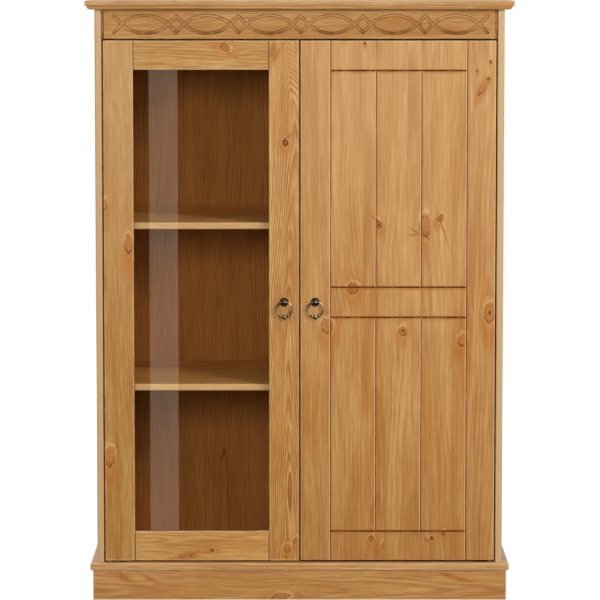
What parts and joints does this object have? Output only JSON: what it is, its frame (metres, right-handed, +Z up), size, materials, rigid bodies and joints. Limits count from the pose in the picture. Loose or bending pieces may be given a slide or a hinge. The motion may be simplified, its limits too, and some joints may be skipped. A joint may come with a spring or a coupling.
{
  "type": "display cabinet",
  "caption": "Free-standing pine display cabinet with a glazed door, a grooved board door, adjustable shelves, a carved frieze and ring pulls.",
  "frame": {"origin": "on the floor under the middle of the top board, which is the bounding box's bottom centre", "axes": "+Z up, +X to the right seen from the front, the doors face -Y"},
  "size_m": [1, 0.4, 1.412],
  "materials": {
    "waxed_pine": "waxed, satin",
    "pine_frame": "planed, waxed",
    "stained_pine_back": "stained, matt",
    "beech_dowel": "bare",
    "clear_glass": "polished",
    "antique_brass": "antiqued",
    "brass_bush": "turned",
    "zinc_steel": "zinc plated",
    "brown_plastic": "matt",
    "felt_bumper": "felt"
  },
  "bodies": {
    "carcass": {"base_board": "waxed_pine", "base_dowels": "beech_dowel", "catch_screws": "zinc_steel", "centre_partition": "waxed_pine", "door_bumpers": "felt_bumper", "frieze_board": "waxed_pine", "frieze_dowels": "beech_dowel", "frieze_glue_blocks": "pine_frame", "left_back_panel": "stained_pine_back", "left_lower_pivot": "zinc_steel", "left_lower_shelf": "waxed_pine", "left_magnetic_catch": "brown_plastic", "left_shelf_pins": "zinc_steel", "left_shelf_strips": "stained_pine_back", "left_side_panel": "waxed_pine", "left_upper_pivot": "zinc_steel", "left_upper_shelf": "waxed_pine", "pivot_screws": "zinc_steel", "pivot_washers": "brown_plastic", "plinth_corner_blocks": "pine_frame", "plinth_front": "waxed_pine", "plinth_left_side": "waxed_pine", "plinth_rear_rail": "pine_frame", "plinth_right_side": "waxed_pine", "right_back_panel": "stained_pine_back", "right_lower_pivot": "zinc_steel", "right_lower_shelf": "waxed_pine", "right_magnetic_catch": "brown_plastic", "right_shelf_pins": "zinc_steel", "right_shelf_strips": "stained_pine_back", "right_side_panel": "waxed_pine", "right_upper_pivot": "zinc_steel", "right_upper_shelf": "waxed_pine", "top_board": "waxed_pine", "top_dowels": "beech_dowel", "top_rear_rail": "pine_frame"},
    "left_door": {"left_door_outer_stile": "waxed_pine", "left_door_inner_stile": "waxed_pine", "left_door_top_rail": "waxed_pine", "left_door_bottom_rail": "waxed_pine", "left_door_glass": "clear_glass", "left_door_glazing_beads": "waxed_pine", "left_door_pivot_bushes": "brass_bush", "left_strike_plate": "zinc_steel", "left_pull_rosette": "antique_brass", "left_pull_stud": "antique_brass", "left_pull_screw": "zinc_steel"},
    "right_door": {"right_door_panel": "waxed_pine", "right_door_pivot_bushes": "brass_bush", "right_strike_plate": "zinc_steel", "right_pull_rosette": "antique_brass", "right_pull_stud": "antique_brass", "right_pull_screw": "zinc_steel"},
    "left_ring": {"left_pull_ring": "antique_brass"},
    "right_ring": {"right_pull_ring": "antique_brass"}
  },
  "joints": [
    {"name": "left_door_hinge", "type": "hinge", "parent": "carcass", "child": "left_door", "pos_m": [-0.449, -0.168, 0.7], "axis": [0, 0, -1], "range_deg": [0, 105]},
    {"name": "right_door_hinge", "type": "hinge", "parent": "carcass", "child": "right_door", "pos_m": [0.449, -0.168, 0.7], "axis": [0, 0, 1], "range_deg": [0, 105]},
    {"name": "left_ring_swing", "type": "hinge", "parent": "left_door", "child": "left_ring", "pos_m": [-0.0365, -0.1845, 0.70655], "axis": [-1, 0, 0], "range_deg": [-4, 170]},
    {"name": "right_ring_swing", "type": "hinge", "parent": "right_door", "child": "right_ring", "pos_m": [0.0365, -0.1845, 0.70655], "axis": [-1, 0, 0], "range_deg": [-4, 170]}
  ]
}
